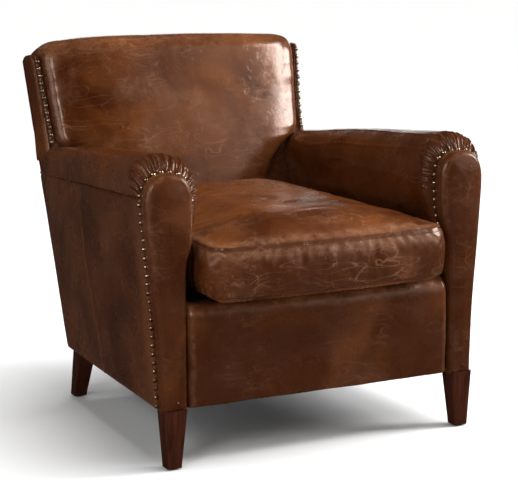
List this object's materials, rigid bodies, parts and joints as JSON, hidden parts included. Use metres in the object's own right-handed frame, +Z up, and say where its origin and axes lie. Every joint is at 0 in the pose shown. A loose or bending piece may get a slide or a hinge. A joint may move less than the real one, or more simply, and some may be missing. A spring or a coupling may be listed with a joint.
{
  "type": "upholstered armchair",
  "caption": "Worn brown leather club chair with rolled arms, raked back, loose seat cushion, nailed edges and short tapered wooden legs.",
  "frame": {"origin": "on the floor, at the middle of the chair's bounding box", "axes": "+Z up, the sitter faces -Y, +X towards the arm on the right of someone who looks at the chair from in front"},
  "size_m": [0.8128, 0.9132, 0.818],
  "materials": {
    "leather": "waxed, worn, satin to glossy",
    "seat_leather": "waxed, worn and creased, glossy on the creases",
    "leg_wood": "dark mahogany stain, satin lacquer",
    "hardwood": "raw, hidden",
    "padding": "foam and wadding, hidden",
    "black_cloth": "matte non-woven cloth",
    "spring_steel": "oiled steel, hidden",
    "glide_nylon": "dark moulded nylon",
    "nail_brass": "antiqued brass nail heads",
    "thread": "waxed brown seam thread"
  },
  "bodies": {
    "root": {"arm_cover_right": "leather", "arm_cover_left": "leather", "arm_front_panel_right": "leather", "arm_front_panel_left": "leather", "outside_arm_panel_right": "leather", "outside_arm_panel_left": "leather", "back_side_panel_right": "leather", "back_side_panel_left": "leather", "inside_back_cover": "leather", "outside_back_panel": "leather", "apron_cover": "leather", "cushion_cover": "seat_leather", "front_post_right": "hardwood", "front_post_left": "hardwood", "side_rail_right": "hardwood", "side_rail_left": "hardwood", "arm_tuck_rail_right": "hardwood", "arm_tuck_rail_left": "hardwood", "arm_rail_right": "hardwood", "arm_rail_left": "hardwood", "back_post_right": "hardwood", "back_post_left": "hardwood", "front_corner_block_right": "hardwood", "front_corner_block_left": "hardwood", "rear_corner_block_right": "hardwood", "rear_corner_block_left": "hardwood", "top_back_rail": "hardwood", "lower_back_rail": "hardwood", "back_rail": "hardwood", "front_rail": "hardwood", "arm_pad_right": "padding", "arm_pad_left": "padding", "back_pad": "padding", "apron_pad": "padding", "cushion_core": "padding", "deck_cover": "black_cloth", "dust_cover": "black_cloth", "seat_spring_1": "spring_steel", "seat_spring_2": "spring_steel", "seat_spring_3": "spring_steel", "seat_spring_4": "spring_steel", "seat_spring_5": "spring_steel", "back_spring_1": "spring_steel", "back_spring_2": "spring_steel", "back_spring_3": "spring_steel", "front_leg_right": "leg_wood", "front_leg_left": "leg_wood", "rear_leg_right": "leg_wood", "rear_leg_left": "leg_wood", "front_leg_bolt_right": "spring_steel", "front_leg_bolt_left": "spring_steel", "rear_leg_bolt_right": "spring_steel", "rear_leg_bolt_left": "spring_steel", "front_glide_right": "glide_nylon", "front_glide_left": "glide_nylon", "rear_glide_right": "glide_nylon", "rear_glide_left": "glide_nylon"}
  },
  "joints": []
}
